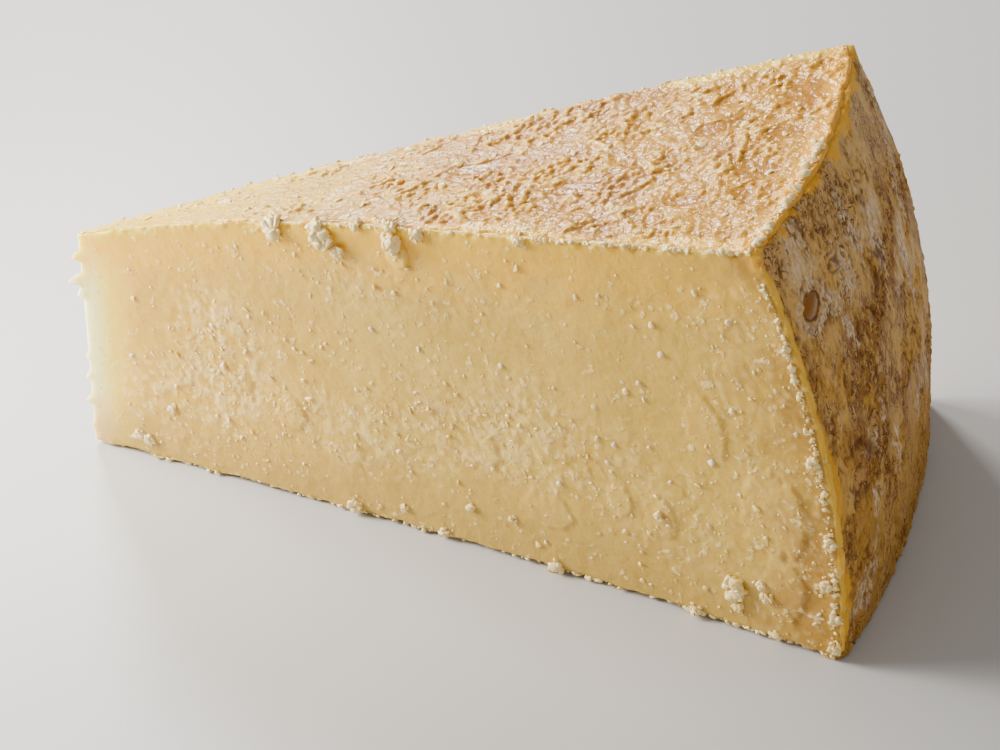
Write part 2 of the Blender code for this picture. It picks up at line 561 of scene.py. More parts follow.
def build_body():
    """Return the mesh of the paste, with the numbers its material reads."""
    bm = body_rows()
    shares = read_points(bm)
    shares[:, 1] += (fan_out(shares[:, 1]) - shares[:, 1]) * ease(shares[:, 0], 0.0, 0.15)
    along, across, up = shares.T
    points = wedge_points(wear_edges(shares)) + TO_FRAME
    move_points(bm, points)
    bmesh.ops.recalc_face_normals(bm, faces=bm.faces)
    bm.normal_update()
    normals = np.array([vert.normal[:] for vert in bm.verts])
    wander = bumps(points, 17 * MM)
    grain = np.where(across < 0.5, graininess(along, up, FRONT_ZONES, wander),
                     graininess(along, up, BACK_ZONES, wander))
    on_cut = np.maximum(across < 1e-6, across > 1.0 - 1e-6).astype(float)
    grain = grain * on_cut
    lift, lumps = cut_relief(points, grain)
    plates = front_plates(points, along, up) * (across < 1e-6)
    lift = lift + plates * MM
    lumps = np.maximum(lumps, 0.3 * plates)
    lift = lift * ease(up, 0.0, 0.03) * ease(1.0 - up, -0.01, 0.04) * np.maximum(on_cut, 0.5)
    lift = lift - edge_chips(points, edge_distance(shares)) * ease(up, 0.0, 0.01)
    sunk = ease(to_side(across) * along * RIM_WIDTH / MM, 1.4, 3.0)
    sunk = sunk * np.maximum(up > 0.9999, along > 0.9999) * RIND_BED * MM
    points = points + normals * (lift - sunk)[:, None]
    burr = ease(up, 0.965, 0.995) * ease(along, 0.975, 0.995)
    burr = burr * (0.5 + 0.3 * bumps(points, 3 * MM)) * MM
    points += burr[:, None] * np.array((1.0, 0.0, 1.0))
    points[:, 0] -= tip_tears(points[:, 2] / MM) * ease(along, 0.016, 0.0)
    points[up < 1e-6, 2] = 0.0
    points[:, 2] = np.maximum(points[:, 2], 0.0) + foot_gap(shares, points)
    move_points(bm, points)
    return finished_mesh(bm, "paste_body", grain=grain, lumps=lumps, from_top=(1.0 - up) * CUT_HEIGHT,
                         from_tip=along * FRONT_LENGTH / MM, from_rim=(1.0 - along) * FRONT_LENGTH / MM)


body_mesh = build_body()

# %% [markdown]
# ## Colour of the paste
# The paste is straw yellow at the tip, beige in the middle and browner towards the rim, where the
# cheese has dried longest. At the very tip it turns near-white, a painted glow of light that
# shines through the thin edge, and low on the cut a painted shade darkens it towards the base.
# A deeper yellow band runs under the top rind. The mesh stores how far each point is from the
# rim, the top and the tip, and the nodes turn those distances into colour.

# %% Paste material
# Pale paste at the very tip, brightened as a painted glow of light that shines through the thin edge.
PASTE_TIP_AND_GLOW = (0.99, 0.86, 0.45)
PASTE_STRAW = (0.79, 0.47, 0.037)
PASTE_BEIGE = (0.76, 0.51, 0.086)
PASTE_WARM = (0.72, 0.46, 0.064)
PASTE_BAND = (0.97, 0.53, 0.014)
PASTE_OLD = (0.73, 0.46, 0.06)
# Painted shade that darkens the cut towards the base.
PASTE_LOW_SHADE = (0.53, 0.34, 0.068)
PASTE_DRY = (0.46, 0.23, 0.02)
RIND_OCHRE = (0.94, 0.50, 0.035)
TOP_EDGE = (0.96, 0.54, 0.045)
# Golden rind at the ridge, made brighter as a painted highlight where the rounded ridge catches the
# light.
RIDGE_GOLD_AND_HIGHLIGHT = (0.99, 0.47, 0.03)
PASTE_YELLOW = (0.99, 0.75, 0.08)
GRAIN_PALE = (0.99, 0.73, 0.32)


def torn_grains(place, grain):
    """Return soft torn grains, 0..1, that crowd where the cut is grainy."""
    gaps = cloud(place, 2.6 * MM, detail=1.0)
    here = spread(plus(gaps, times(grain, 0.22)), 0.56, 0.70)
    blobs = times(spread(cloud(place, 1.5 * MM, detail=2.0), 0.56, 0.68), here)
    dots = times(specks(place, 1.5 * MM, 0.5), spread(gaps, 0.50, 0.60))
    smears = spread(cloud(place, 3.2 * MM, detail=2.0), 0.48, 0.62)
    smears = times(smears, spread(grain, 0.3, 1.0, 0.0, 0.6))
    return larger(larger(blobs, smears), times(dots, 0.75))


def paste_material():
    """Waxy cut cheese with clouds of colour, pale grains and a soft sheen."""
    material, shader, place = new_material("paste")
    tip, from_top, from_rim = [stored(shader, name) for name in ("from_tip", "from_top", "from_rim")]
    uneven = cloud(place, 7 * MM, detail=2.0)
    top = plus(from_top, spread(uneven, 0.3, 0.7, -3, 3))
    rim = plus(from_rim, spread(uneven, 0.3, 0.7, 3, -3))
    corner = minus(rim, spread(from_top, 34, 56, 0.0, 8.0))
    dry = times(spread(rim, 16, 3, 0.0, 0.5), spread(from_top, 3, 24, 0.15, 1.0))
    clouds = spread(cloud(place, 15 * MM, detail=2.0), 0.40, 0.62)
    colour = blend(clouds, PASTE_BEIGE, PASTE_WARM)
    # The palest tip coat is paste colour with a painted glow of light through the thin tip.
    colour = coats(colour, (PASTE_STRAW, tip, 75, 12, 0.85), (PASTE_YELLOW, tip, 14, 3, 1.0),
                   (PASTE_TIP_AND_GLOW, tip, 6.5, 0.5, 1.0), (PASTE_BAND, top, 15, 2, 0.9),
                   (PASTE_OLD, rim, 50, 5, 0.7))
    colour = blend(dry, colour, PASTE_DRY)
    # The coat low on the cut is painted shade towards the base.
    # The last coat is golden rind with a painted highlight on the ridge.
    colour = coats(colour, (PASTE_LOW_SHADE, from_top, 40, 62, 0.7), (PASTE_DRY, corner, 7, 0, 0.8),
                   (TOP_EDGE, from_top, 0.4, 0.0, 1.0), (RIND_OCHRE, from_rim, 0.7, 0.3, 1.0),
                   (RIDGE_GOLD_AND_HIGHLIGHT, larger(from_rim, from_top), 3.0, 1.8, 1.0))
    grains = torn_grains(place, stored(shader, "grain"))
    pale = times(larger(grains, stored(shader, "lumps")), 0.82)
    colour = blend(pale, colour, GRAIN_PALE)
    roughness = spread(cloud(place, 1.6 * MM, detail=2.0), 0.35, 0.65, 0.26, 0.46)
    reach = plus(spread(tip, 30, 3, 2.6 * MM, 5.0 * MM), spread(from_top, 9, 1, 0.0, 1.5 * MM))
    finish(shader, colour, roughness, 0.35, spread(tip, 30, 3, 0.6, 1.0), reach)
    bump(shader, plus(cloud(place, 1.4 * MM, detail=2.0), grains), 0.22 * MM, 0.8)
    return material


paste = paste_material()
body = add_piece("paste_body", body_mesh, paste)
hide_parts("cheese_wedge")

# %% [markdown]
# ## The rinds
# The rind is the dried outside of the wheel. On top it lifts in small pale flakes with smooth
# tan hollows between them. On the rim it is stained brown and ochre, with chalky bloom, fine
# cracks and pits. Each rind is a skin of fine faces that lies on the body and dips under it at
# the wedge's edges, so the paste makes the edge lines itself, as it does on the real piece. The
# skin's border is drawn inwards and filled, which closes it.

# %% Make a closed skin
SKIN_DEPTH = 2.0 * MM
RIND_LIFT = 0.2              # the skin lies this much over the wedge's outline, in mm


def skin_rows(rows_long, rows_wide):
    """Return a flat grid of faces over the unit square, and its points."""
    bm = bmesh.new()
    bmesh.ops.create_grid(bm, x_segments=rows_long, y_segments=rows_wide, size=0.5)
    bmesh.ops.translate(bm, verts=bm.verts, vec=(0.5, 0.5, 0.0))
    return bm, read_points(bm)


def inside(shares, inset, width):
    """Draw shares in from both cuts by an inset, for a skin of the given width."""
    gap = np.minimum(inset / width, 0.25)
    return gap + shares * (1.0 - 2.0 * gap)


def close_skin(bm, inwards):
    """Draw the skin's border inwards by a matrix and fill it, so that the skin is closed."""
    border = [edge for edge in bm.edges if edge.is_boundary]
    drawn = bmesh.ops.extrude_edge_only(bm, edges=border)["geom"]
    new_points = [item for item in drawn if isinstance(item, bmesh.types.BMVert)]
    new_edges = [item for item in drawn if isinstance(item, bmesh.types.BMEdge)]
    bmesh.ops.transform(bm, verts=new_points, matrix=inwards)
    rim_edges = [edge for edge in new_edges if edge.is_boundary]
    bmesh.ops.edgeloop_fill(bm, edges=rim_edges)
    bmesh.ops.recalc_face_normals(bm, faces=bm.faces)


def layers(points, size, steps):
    """Return torn layers, about -1..1: level steps that end in steep frayed edges."""
    rough = 0.62 * bumps(points, size) + 0.34 * bumps(points + 0.1, size * 0.42)
    rough = rough + 0.18 * bumps(points + 0.2, size * 0.19)
    level = (rough + 1.0) * steps
    step = np.floor(level)
    return (step + ease(level - step, 0.0, 0.4) + 0.5) / steps - 1.0


# %% [markdown]
# ## Top rind
# Flakes are patches of a noise that is lifted where it passes a level, and worn hollows press
# them flat. The skin is fine enough, about 0.4 mm a face, for each flake to cast its own shade.

# %% Top rind
TOP_LONG, TOP_WIDE = 400, 235
# Each worn hollow: share along, share across, half length and half width in mm.
TOP_HOLLOWS = ((0.931, 0.387, 5, 4), (0.927, 0.280, 2.4, 2.6), (0.862, 0.250, 5, 2.2),
               (0.939, 0.569, 3.6, 4), (0.855, 0.640, 6, 3), (0.955, 0.774, 6, 6),
               (0.700, 0.330, 6, 2.4), (0.560, 0.560, 7, 2.6))


def top_wear(points, along, across):
    """Return where the top rind is worn to a smooth golden hollow, 0..1."""
    fray = 0.35 * bumps(points, 3 * MM) + 0.15 * bumps(points, 1.4 * MM)
    total = ease(bumps(points + 0.5, 11 * MM) + fray, 0.30, 0.50) * 0.5
    for share_along, share_across, half_long, half_wide in TOP_HOLLOWS:
        long = (along - share_along) * FRONT_LENGTH / MM / half_long
        wide = (across - share_across) * along * RIM_WIDTH / MM / half_wide
        total = np.maximum(total, 1.0 - ease(np.hypot(long, wide) + fray, 0.55, 1.15))
    return total


def build_top_rind():
    """Return the mesh of the flaky top rind."""
    bm, grid = skin_rows(TOP_LONG, TOP_WIDE)
    along = 0.005 + 0.995 * grid[:, 0]
    across = inside(grid[:, 1], 0.4 * MM, along * RIM_WIDTH + TIP_WIDTH)
    points = wedge_points(np.stack((along, across, np.ones(len(grid))), axis=1)) + TO_FRAME
    bent = warped(points, 3.5 * MM, 1.0 * MM)
    worn = top_wear(points, along, across)
    rough = 0.35 * bumps(bent, 4.6 * MM) + 0.60 * bumps(bent + 0.3, 2.0 * MM)
    rough = rough + 0.45 * bumps(points, 0.9 * MM)
    flakes = 0.8 * ease(rough, -0.04, 0.28) - 0.30 + 1.2 * rough
    smooth = ease(along, 0.50, 0.10) * 0.45
    patch = ease(bumps(points + 0.8, 9 * MM) + 0.4 * bumps(points, 3 * MM), -0.2, 0.3)
    crust = (1.0 - np.maximum(0.8 * worn, smooth)) * flakes * (0.18 + 0.95 * patch) - 0.5 * worn
    width = (along * FRONT_LENGTH + 2 * MM) * WEDGE_ANGLE / MM
    from_cut = to_side(across) * width
    from_rim = (1.0 - along) * FRONT_LENGTH / MM
    from_edge = np.minimum(np.minimum(from_cut, from_rim + 0.5), along * 100.0)
    crust = crust * (0.35 + 0.65 * ease(from_edge, 0.6, 3.6))
    lift = 0.36 * crust + 0.35 * bumps(points + 0.2, 16 * MM) + 0.22 * bumps(points + 0.7, 6 * MM)
    fray = 0.6 * bumps(points + 0.4, 2.4 * MM) + 0.4 * bumps(points, 6 * MM)
    sink = 1.8 * (1.0 - ease(from_edge + fray, 0.1, 1.1))
    points[:, 2] += (lift + RIND_LIFT - sink) * MM
    move_points(bm, points)
    close_skin(bm, Matrix.Translation((0.0, 0.0, -SKIN_DEPTH)))
    return finished_mesh(bm, "top_rind", crust=crust, worn=worn, across=across, from_cut=from_cut,
                         from_rim=from_rim, from_tip=along * FRONT_LENGTH / MM)


# %% Top rind material
TOP_TAN = (0.51, 0.23, 0.046)
TOP_PINK = (0.61, 0.29, 0.076)
TOP_CREAM = (0.99, 0.66, 0.125)
# A painted sheen: the top is paler towards the tip and along the back edge, where window light glances
# off it.
TOP_PAINTED_SHEEN = (0.99, 0.67, 0.08)
TOP_GOLD = (0.65, 0.31, 0.024)
# Painted shade for the low places between the flakes.
TOP_HOLLOW_SHADE = (0.25, 0.10, 0.026)
TOP_AMBER = (0.44, 0.18, 0.005)


def top_rind_material():
    """Dry flaky rind: tan hollows, cream flakes, golden worn spots, with painted shade and sheen."""
    material, shader, place = new_material("top rind")
    from_rim, worn = stored(shader, "from_rim"), stored(shader, "worn")
    golden = plus(cloud(place, 13 * MM, detail=1.0), spread(from_rim, 45, 6, 0.0, 0.22))
    fine = cloud(place, 1.2 * MM, detail=2.0, distortion=0.5)
    height = plus(stored(shader, "crust"), spread(fine, 0.35, 0.65, -0.35, 0.35))
    clouds = spread(cloud(place, 9 * MM, detail=2.0), 0.40, 0.60)
    colour = blend(clouds, TOP_TAN, TOP_PINK)
    # The coat towards the tip is a painted sheen.
    # The deep coat paints shade into the low places of the crust.
    colour = coats(colour, (TOP_GOLD, golden, 0.46, 0.64, 0.9), (TOP_AMBER, worn, 0.3, 1.0, 0.85),
                   (TOP_HOLLOW_SHADE, height, -0.1, -0.9, 0.4),
                   (TOP_PAINTED_SHEEN, stored(shader, "from_tip"), 90, 15, 0.75))
    pale = times(spread(height, 0.05, 0.80), spread(golden, 0.50, 0.75, 0.6, 0.3))
    colour = blend(pale, colour, TOP_CREAM)
    edge = plus(stored(shader, "from_cut"), spread(golden, 0.35, 0.75, 1.8, -1.8))
    # Along the back edge the pale colour is a painted highlight.
    edge_colour_and_sheen = blend(spread(stored(shader, "across"), 0.45, 0.55), TOP_EDGE, TOP_PAINTED_SHEEN)
    ridge = plus(from_rim, spread(golden, 0.4, 0.7, 1.5, -1.5))
    # At the ridge the golden rind carries a painted highlight.
    colour = coats(colour, (edge_colour_and_sheen, edge, 3.2, 1.2, 0.85), (RIDGE_GOLD_AND_HIGHLIGHT, ridge, 4.0, 1.2, 0.8))
    roughness = spread(worn, 0.0, 1.0, 0.24, 0.20)
    finish(shader, colour, roughness, spread(worn, 0.3, 1.0, 0.30, 0.28), 0.3, 0.5 * MM)
    wrinkles = cloud(place, 2.2 * MM, detail=1.0, distortion=0.2)
    grit = times(plus(wrinkles, fine), spread(worn, 0.2, 0.9, 1.0, 0.6))
    bump(shader, grit, 0.38 * MM, 1.0)
    return material


top_rind = add_piece("top_rind", build_top_rind(), top_rind_material())

# %% [markdown]
# ## Rim rind
# The rim dried upright against its band, so its fibres, cracks and chalky streaks run up and down.
# Noise that is stretched upwards gives all three. One amber drop of fat sits near the top corner.

# %% Rim rind
RIM_WIDE, RIM_HIGH = 300, 240
DROP_SPOT, DROP_SIZE = (0.118, 0.824), (3.3, 2.3)
# Each chalky streak: share across, share up, half width and half height in mm, lean.
CHALK_STREAKS = ((0.30, 0.80, 3, 7, 0.2), (0.40, 0.86, 2.2, 8, 0.1), (0.20, 0.79, 2.4, 3.5, 0.5),
                 (0.302, 0.46, 1.2, 3.6, 0), (0.24, 0.70, 1.6, 4, 0.3), (0.36, 0.34, 1.8, 6, 0),
                 (0.52, 0.78, 2.6, 9, 0), (0.20, 0.30, 2, 3, 0), (0.70, 0.60, 3, 9, 0))


def rim_chalk(points, across, up):
    """Return the pale bloom on the rim, 0..1, in streaks that run upwards."""
    fray = 0.5 * bumps(points * (1, 1, 0.5), 1.8 * MM) + 0.3 * bumps(points * (1, 1, 0.5), 0.8 * MM)
    total = ease(bumps(points + 1.1, 12 * MM) + 0.5 * fray, 0.26, 0.5) * 0.7
    for share_across, share_up, half_wide, half_high, lean in CHALK_STREAKS:
        tall = (up - share_up) * RIM_HEIGHT / MM
        wide = (across - share_across) * RIM_WIDTH / MM + lean * tall
        far = np.hypot(wide / half_wide, tall / half_high)
        total = np.maximum(total, 1.0 - ease(far + fray, 0.6, 1.15))
    return total


def rim_drop(points, across, up):
    """Return the amber drop's hollow, the pale ring round it and the bead in it, 0..1 each."""
    wide = (across - DROP_SPOT[0]) * RIM_WIDTH / MM / DROP_SIZE[0]
    tall = (up - DROP_SPOT[1]) * RIM_HEIGHT / MM / DROP_SIZE[1]
    far = np.hypot(wide, tall) + 0.10 * bumps(points, 2.5 * MM)
    bead = np.clip(1.0 - (far / 0.85) ** 2, 0.0, 1.0)
    return 1.0 - ease(far, 0.65, 1.10), 1.0 - ease(np.abs(far - 1.35), 0.15, 0.45), bead


def build_rim_rind():
    """Return the mesh of the stained rim rind."""
    bm, grid = skin_rows(RIM_WIDE, RIM_HIGH)
    across, up = inside(grid[:, 0], 0.4 * MM, RIM_WIDTH), 0.992 * grid[:, 1]
    points = wedge_points(np.stack((np.ones(len(grid)), across, up), axis=1)) + TO_FRAME
    tall = warped(points, 4 * MM, 0.8 * MM) * np.array((1.0, 1.0, 0.55))
    drop, ring, bead = rim_drop(points, across, up)
    chalk = np.maximum(rim_chalk(points, across, up), ring) * (1.0 - drop)
    patch = ease(bumps(points + 0.6, 10 * MM) + 0.4 * bumps(points, 3 * MM), -0.2, 0.2)
    ridges = np.clip(1.0 - 6.0 * np.abs(bumps(tall, 1.6 * MM)), -1.0, 1.0)
    fibres = 0.40 * layers(tall, 2.0 * MM, 1.8) + 0.6 * ridges * patch
    fibres = fibres + 0.5 * bumps(tall, 0.7 * MM)
    near, next_near, scale = cells(warped(tall, 1.5 * MM, 0.5 * MM), 1.9 * MM, 3.7)
    gaps = 1.0 - ease(next_near - near, 0.03, 0.22)
    crack = np.maximum(gaps * ease(bumps(points + 0.9, 3 * MM), -0.25, 0.25),
                       ease(bumps(tall + 0.3, 1.0 * MM) + 0.5 * bumps(tall, 0.5 * MM), 0.3, 0.6))
    crack = crack * patch * (1.0 - drop)
    fibres = fibres + 0.25 * scale
    crust = (1.0 - drop) * (fibres * (0.4 + 0.6 * patch) - 0.9 * crack + 0.2 * chalk)
    slow = 0.30 * bumps(points, 10 * MM) + 0.14 * bumps(points + 0.3, 4 * MM)
    lift = slow + 0.34 * crust - 0.30 * drop + 0.15 * ring + 0.65 * bead
    from_cut = to_side(across) * RIM_WIDTH / MM
    from_top = (1.0 - up) * RIM_HEIGHT / MM
    from_base = up * RIM_HEIGHT / MM
    from_edge = np.minimum(np.minimum(from_cut, from_top + 0.6), from_base * 2.0 + 0.3)
    fray = 0.5 * bumps(points + 0.4, 2.5 * MM) + 0.25 * bumps(points, 0.9 * MM)
    sink = 1.6 * (1.0 - ease(from_edge + fray, 0.3, 1.5))
    outward = points - TO_FRAME
    outward[:, 2] = 0.0
    outward /= np.linalg.norm(outward, axis=1, keepdims=True)
    points = points + outward * ((lift + RIND_LIFT - sink) * MM)[:, None]
    points[:, 2] = np.maximum(points[:, 2], 0.15 * MM)
    move_points(bm, points)
    shrink = 1.0 - SKIN_DEPTH / FRONT_LENGTH
    axis = Matrix.Translation(tip_top)
    close_skin(bm, axis @ Matrix.Diagonal((shrink, shrink, 1.0, 1.0)) @ axis.inverted())
    return finished_mesh(bm, "rim_rind", crack=crack, chalk=chalk, drop=drop, scale=scale,
                         from_cut=from_cut, from_top=from_top, from_base=from_base)


# %% Rim rind material
UPRIGHT = (1.0, 1.0, 0.5)    # stretches the patterns to twice their height
RIM_BROWN = (0.40, 0.18, 0.035)
RIM_OCHRE = (0.66, 0.35, 0.06)
RIM_GOLD = (0.84, 0.50, 0.11)
RIM_TAN = (0.80, 0.50, 0.19)
RIM_EDGE = (0.86, 0.42, 0.026)
RIM_LOW = (0.34, 0.15, 0.012)
RIM_CHALK = (0.84, 0.66, 0.46)
# Painted shade for the cracks, splits and hollows, and round the drop.
RIM_PAINTED_SHADE = (0.13, 0.04, 0.012)
RIM_AMBER = (0.27, 0.10, 0.001)


def rim_rind_material():
    """Natural rim rind: brown and ochre stains, pale bloom, painted shade in cracks and round one amber
    drop.
    """
    material, shader, place = new_material("rim rind")
    tall = add_node(place, "ShaderNodeMapping", {"Vector": place, "Scale": UPRIGHT}).outputs["Vector"]
    from_top, drop = stored(shader, "from_top"), stored(shader, "drop")
    stains = cloud(tall, 7 * MM, detail=4.0, roughness=0.6)
    fine = cloud(tall, 1.1 * MM, detail=5.0, roughness=0.7)
    colour = blend(spread(stains, 0.38, 0.60), RIM_BROWN, RIM_OCHRE)
    colour = coats(colour, (RIM_GOLD, fine, 0.48, 0.68, 0.75),
                   (RIM_TAN, stored(shader, "scale"), -0.2, 1.0, 0.5))
    murk = spread(cloud(tall, 12 * MM, detail=3.0), 0.48, 0.62, 0.0, 0.5)
    colour = blend(times(murk, spread(from_top, 8, 30)), colour, RIM_BROWN)
    near_top = plus(from_top, spread(stains, 0.3, 0.7, 6, -6))
    low = plus(stored(shader, "from_base"), spread(stains, 0.3, 0.7, 12, -12))
    colour = coats(colour, (RIM_TAN, near_top, 26, 4, 0.5), (RIM_OCHRE, low, 34, 10, 0.6),
                   (RIM_LOW, low, 26, 0, 0.7))
    powder = cloud(tall, 0.8 * MM, detail=3.0, roughness=0.6)
    chalk = times(stored(shader, "chalk"), spread(powder, 0.44, 0.58, 0.1, 0.95))
    colour = blend(chalk, colour, RIM_CHALK)
    # Cracks, splits and the low places of the fine relief get painted shade.
    hollows = spread(fine, 0.46, 0.34, 0.0, 0.7)
    splits = times(thin_lines(tall, 1.5 * MM, 0.035), spread(stains, 0.56, 0.44, 0.1, 1.0))
    recess_shade = larger(stored(shader, "crack"), larger(hollows, splits))
    colour = blend(times(recess_shade, 0.8), colour, RIM_PAINTED_SHADE)
    edge = maths("MINIMUM", stored(shader, "from_cut"), from_top)
    edge = plus(edge, spread(stains, 0.3, 0.7, 1.5, -1.5))
    ridge = plus(from_top, spread(stains, 0.3, 0.7, 1.8, -1.8))
    # A painted shade darkens the border of the drop's hollow.
    # At the ridge the golden rind carries a painted highlight.
    colour = coats(colour, (RIM_PAINTED_SHADE, drop, 0.1, 0.5, 0.85), (RIM_AMBER, drop, 0.55, 0.95, 1.0),
                   (RIM_EDGE, edge, 1.9, 0.7, 0.85), (RIDGE_GOLD_AND_HIGHLIGHT, ridge, 2.2, 0.8, 0.9))
    roughness = spread(drop, 0.3, 0.9, 0.46, 0.2)
    shine = spread(drop, 0.6, 1.0, 0.12, 0.25)
    finish(shader, colour, roughness, shine, spread(drop, 0.3, 0.9, 0.3, 0.0), 0.6 * MM)
    relief = times(minus(fine, times(splits, 0.5)), spread(drop, 0.3, 0.9, 1.0, 0.0))
    bump(shader, relief, 0.6 * MM, 0.9)
    return material


rim_rind = add_piece("rim_rind", build_rim_rind(), rim_rind_material())

# %% [markdown]
# ## Grains, crystals and crumbs
# Broken sbrinz sheds pale grains, ripe paste holds small white crystals, and crumbs cling to every
# edge. A grain or crumb is a cube broken down by a few planes, with its edges worn. Some crystals
# are such bits and some are small dented lumps. Each one is copied to its place by a matrix.
# Particles would scatter them faster, but they would not leave as meshes.

# %% Shapes of grains and crumbs
BLOCKINESS = 2.8             # 2 is a round lump, 5 is nearly a cube


def dented_lump(shift):
    """Return a closed lump about 1 across; each shift gives it other dents."""
    bm = bmesh.new()
    bmesh.ops.create_icosphere(bm, subdivisions=2, radius=1.0)
    points = read_points(bm)
    length = (np.abs(points) ** BLOCKINESS).sum(axis=1) ** (1.0 / BLOCKINESS)
    points = points / length[:, None] / 2.0
    dents = bumps(points + shift, 0.60) + 0.4 * bumps(points - shift, 0.28)
    move_points(bm, points * (1.0 + 0.45 * dents)[:, None])
    return finished_mesh(bm, "lump")


NEAREST_PLANE, FARTHEST_PLANE = 0.26, 0.46


def broken_bit(cuts):
    """Return a closed angular bit about 1 across: a cube broken down by planes, edges worn."""
    bm = bmesh.new()
    bmesh.ops.create_cube(bm, size=1.0)
    for _ in range(cuts):
        way = Vector((draw.gauss(0, 1), draw.gauss(0, 1), draw.gauss(0, 1))).normalized()
        spot = way * draw.uniform(NEAREST_PLANE, FARTHEST_PLANE)
        everything = bm.verts[:] + bm.edges[:] + bm.faces[:]
        cut = bmesh.ops.bisect_plane(bm, geom=everything, plane_co=spot, plane_no=way, clear_outer=True)
        open_edges = [item for item in cut["geom_cut"] if isinstance(item, bmesh.types.BMEdge)]
        bmesh.ops.edgeloop_fill(bm, edges=open_edges)
    bmesh.ops.remove_doubles(bm, verts=bm.verts, dist=0.03)
    bmesh.ops.bevel(bm, geom=bm.edges[:], offset=0.05, segments=1, affect="EDGES")
    bmesh.ops.triangulate(bm, faces=bm.faces[:])
    bmesh.ops.recalc_face_normals(bm, faces=bm.faces)
    print("bit with", len(bm.faces), "faces, open edges:", sum(not e.is_manifold for e in bm.edges))
    return finished_mesh(bm, "bit")


draw = random.Random(8)
bit_shapes = [broken_bit(cuts) for cuts in (7, 8, 9, 10, 11, 12)]
crystal_shapes = [dented_lump(shift) for shift in (1.9, 3.3, 4.7)] + bit_shapes[:3]

# %% [markdown]
# ## Seat them in the surface
# A ray from outside finds the surface at the wanted place. The bit is sunk a little into it and
# turned to face the same way. A modifier would snap every bit to one depth, and a crumb in a heap
# has to stand higher.

# %% Find the surface
REACH = 6                    # rays start this far outside, in mm
FRONT_OUT = Vector((-math.sin(WEDGE_ANGLE / 2), -math.cos(WEDGE_ANGLE / 2), 0.0))
BACK_OUT = Vector((-math.sin(WEDGE_ANGLE / 2), math.cos(WEDGE_ANGLE / 2), 0.0))
TIP_OUT, TOP_OUT = Vector((-1, 0, 0)), Vector((0, 0, 1))

solid = bmesh.new()
for part in (body, top_rind, rim_rind):
    solid.from_mesh(part.data)
surface = BVHTree.FromBMesh(solid)
solid.free()


def seat(shapes, shares, outward, size, flat=0.8, sunk=0.35, long=1.0, raised=0.0):
    """Return a copy of one of the shapes, sunk into the surface or raised off it, if a ray meets it."""
    place = Vector(wedge_points(np.array([shares]))[0] + TO_FRAME)
    spot, normal, _, _ = surface.ray_cast(place + outward * REACH * MM, -outward, 2 * REACH * MM)
    if spot is None:
        return None
    sizes = Vector((size * long * draw.uniform(0.85, 1.2), size * draw.uniform(0.75, 1.1), size * flat))
    spin = Matrix.Rotation(draw.uniform(0.0, 2.0 * math.pi), 4, "Z")
    tilt = Matrix.Rotation(draw.gauss(0.0, 0.35), 4, "X")
    turn = normal.to_track_quat("Z", "Y").to_matrix().to_4x4() @ spin @ tilt
    middle = spot + normal * (size * flat * (0.5 - sunk) + raised)
    middle.z = max(middle.z, size * 0.42)
    copy = draw.choice(shapes).copy()
    copy.transform(Matrix.Translation(middle) @ turn @ Matrix.Diagonal(sizes).to_4x4())
    return copy


def join(name, copies, material):
    """Join the copies into one piece."""
    bm = bmesh.new()
    for copy in copies:
        if copy is not None:
            bm.from_mesh(copy)
            bpy.data.meshes.remove(copy)
    return add_piece(name, finished_mesh(bm, name), material)


# %% Material of the crumbs
CRUMB_PALE = (0.99, 0.78, 0.37)
CRUMB_STRAW = (0.99, 0.70, 0.24)
GRAIN_STRAW = (0.99, 0.69, 0.21)
CRYSTAL_WHITE = (0.99, 0.81, 0.58)


def crumb_material(name, first, second):
    """Broken cheese: pale, a little uneven in colour, soft to the light."""
    material, shader, place = new_material(name)
    colour = blend(spread(cloud(place, 2.5 * MM), 0.35, 0.65), first, second)
    finish(shader, colour, 0.32, 0.5, 0.15, 0.5 * MM, (1.0, 0.8, 0.6))
    bump(shader, cloud(place, 0.5 * MM), 0.10 * MM, 0.7)
    return material


grain_look = crumb_material("grains", GRAIN_STRAW, CRUMB_STRAW)
crumb_look = crumb_material("crumbs", CRUMB_STRAW, CRUMB_PALE)
crystal_look = crumb_material("crystals", CRYSTAL_WHITE, CRUMB_STRAW)

# %% Grains in the cuts
def cut_grains(side, outward, zones, tries):
    """Yield grains and slivers, crowded where the cut is grainy."""
    for _ in range(tries):
        along, up = draw.random() ** 0.75, draw.uniform(0.02, 0.97)
        wander = noise.noise(Vector((along * 9, up * 4, side * 5)))
        crowd = graininess(np.array([along]), np.array([up]), zones, wander)[0]
        if draw.random() > 0.10 + 0.9 * crowd:
            continue
        size = (0.35 + 0.85 * draw.random() ** 3) * MM
        long = draw.choice((1.0, 1.0, 1.2, 1.4))
        yield seat(bit_shapes, (along, side, up), outward, size, 0.6, 0.5, long)


join("grains_front", cut_grains(0.0, FRONT_OUT, FRONT_ZONES, 1700), grain_look)
join("grains_back", cut_grains(1.0, BACK_OUT, BACK_ZONES, 1600), grain_look)

